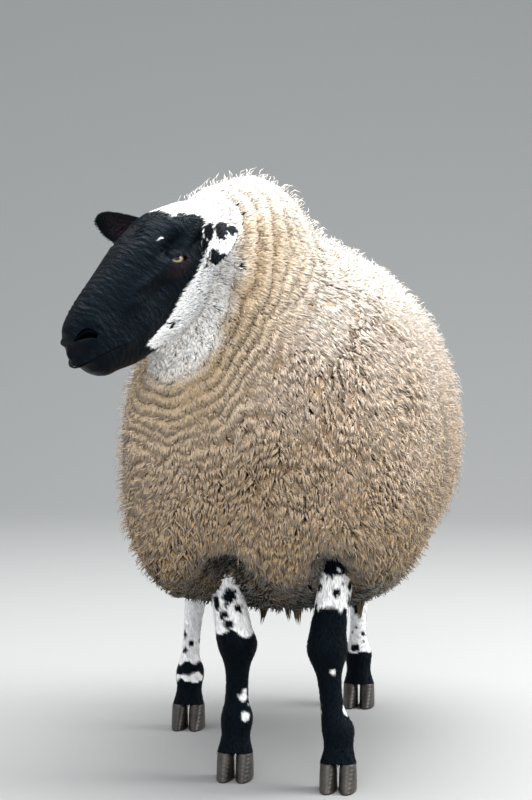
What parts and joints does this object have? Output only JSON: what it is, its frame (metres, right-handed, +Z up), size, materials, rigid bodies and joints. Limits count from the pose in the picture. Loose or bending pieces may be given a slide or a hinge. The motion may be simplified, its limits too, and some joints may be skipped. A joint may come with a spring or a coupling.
{
  "type": "sheep",
  "caption": "Life-size standing sheep in full fleece, black face and feet, speckled shanks, head turned to its right.",
  "frame": {"origin": "on the floor, under the middle of the bounding box", "axes": "+Z up, -Y the way the body faces, +X the sheep's left side"},
  "size_m": [0.515, 1.0134, 0.8758],
  "materials": {
    "fleece": "soft cream wool",
    "face": "short black hair with a soft sheen",
    "shank": "short hair, white with black spots above and black below",
    "hoof": "dark dull horn",
    "eye": "wet amber with a dark level pupil"
  },
  "bodies": {
    "root": {"barrel": "fleece", "chest": "fleece", "ear_left": "face", "ear_right": "face", "eye_left": "eye", "eye_right": "eye", "head": "face", "hoof_front_left_left": "hoof", "hoof_front_left_right": "hoof", "hoof_front_right_left": "hoof", "hoof_front_right_right": "hoof", "hoof_hind_left_left": "hoof", "hoof_hind_left_right": "hoof", "hoof_hind_right_left": "hoof", "hoof_hind_right_right": "hoof", "leg_front_left": "shank", "leg_front_right": "shank", "leg_hind_left": "shank", "leg_hind_right": "shank", "neck": "fleece", "rump": "fleece", "tail": "fleece"}
  },
  "joints": []
}
